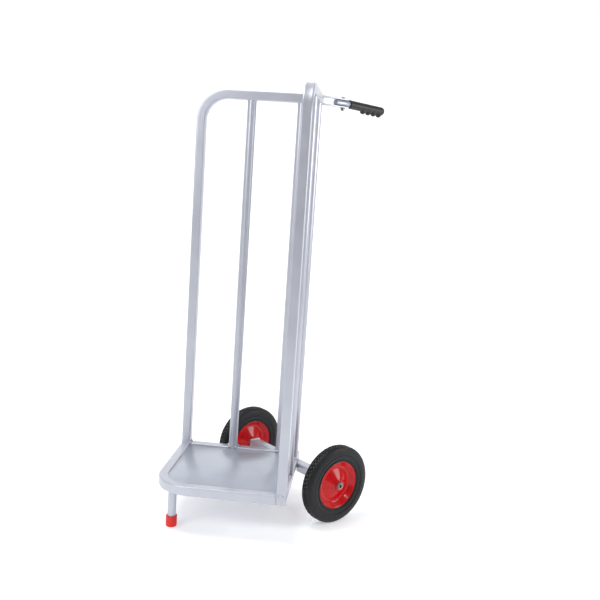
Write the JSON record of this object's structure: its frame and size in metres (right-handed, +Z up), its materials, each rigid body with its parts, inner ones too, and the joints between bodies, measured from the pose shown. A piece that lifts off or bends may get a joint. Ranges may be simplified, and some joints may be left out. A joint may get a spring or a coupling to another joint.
{
  "type": "corner crate truck",
  "caption": "Corner crate truck: square platform set corner-first between two wheels, tubular hoop on each rear side, front leg with rubber foot and a swivelling pull handle.",
  "frame": {"origin": "on the floor under the middle of the overall box", "axes": "+X forward along the platform's diagonal towards the leg, +Y towards the left wheel, +Z up"},
  "size_m": [0.8335, 0.601, 1.4099],
  "materials": {
    "frame_coat": "semi-gloss silver-grey powder coat",
    "sheet_coat": "satin silver-grey powder coat",
    "zinc_steel": "zinc plated",
    "red_enamel": "gloss red enamel",
    "tyre_rubber": "moulded black tyre rubber",
    "red_rubber": "smooth red rubber",
    "grip_rubber": "satin black moulded rubber"
  },
  "bodies": {
    "frame": {"platform_outer_tube": "frame_coat", "right_rear_rail": "frame_coat", "left_rear_rail": "frame_coat", "deck_sheet": "sheet_coat", "deck_stiffener": "sheet_coat", "right_hoop": "frame_coat", "left_hoop": "frame_coat", "right_mid_post": "frame_coat", "left_mid_post": "frame_coat", "right_rear_post": "frame_coat", "left_rear_post": "frame_coat", "right_axle_beam": "frame_coat", "left_axle_beam": "frame_coat", "right_axle_plate": "frame_coat", "left_axle_plate": "frame_coat", "right_stub_axle": "zinc_steel", "left_stub_axle": "zinc_steel", "right_inner_washer": "zinc_steel", "left_inner_washer": "zinc_steel", "right_retaining_ring": "zinc_steel", "left_retaining_ring": "zinc_steel", "leg_tube": "frame_coat", "rubber_foot": "red_rubber", "fork_upper_bar": "frame_coat", "fork_lower_bar": "frame_coat", "fork_bolt": "zinc_steel", "fork_washers": "zinc_steel", "fork_nut": "zinc_steel", "weld_beads": "frame_coat"},
    "left_wheel": {"left_tyre": "tyre_rubber", "left_rim_outer": "red_enamel", "left_rim_inner": "red_enamel", "left_hub": "red_enamel", "left_bushes": "zinc_steel"},
    "right_wheel": {"right_tyre": "tyre_rubber", "right_rim_outer": "red_enamel", "right_rim_inner": "red_enamel", "right_hub": "red_enamel", "right_bushes": "zinc_steel"},
    "handle": {"handle_tube": "frame_coat", "grip": "grip_rubber"}
  },
  "joints": [
    {"name": "left_wheel_spin", "type": "hinge", "parent": "frame", "child": "left_wheel", "pos_m": [-0.0917, 0.242, 0.13], "axis": [0, 1, 0], "continuous": true},
    {"name": "right_wheel_spin", "type": "hinge", "parent": "frame", "child": "right_wheel", "pos_m": [-0.0917, -0.242, 0.13], "axis": [0, 1, 0], "continuous": true},
    {"name": "handle_swivel", "type": "hinge", "parent": "frame", "child": "handle", "pos_m": [-0.2237, 0, 1.388], "axis": [0, 0, 1], "range_deg": [-90, 90]}
  ]
}
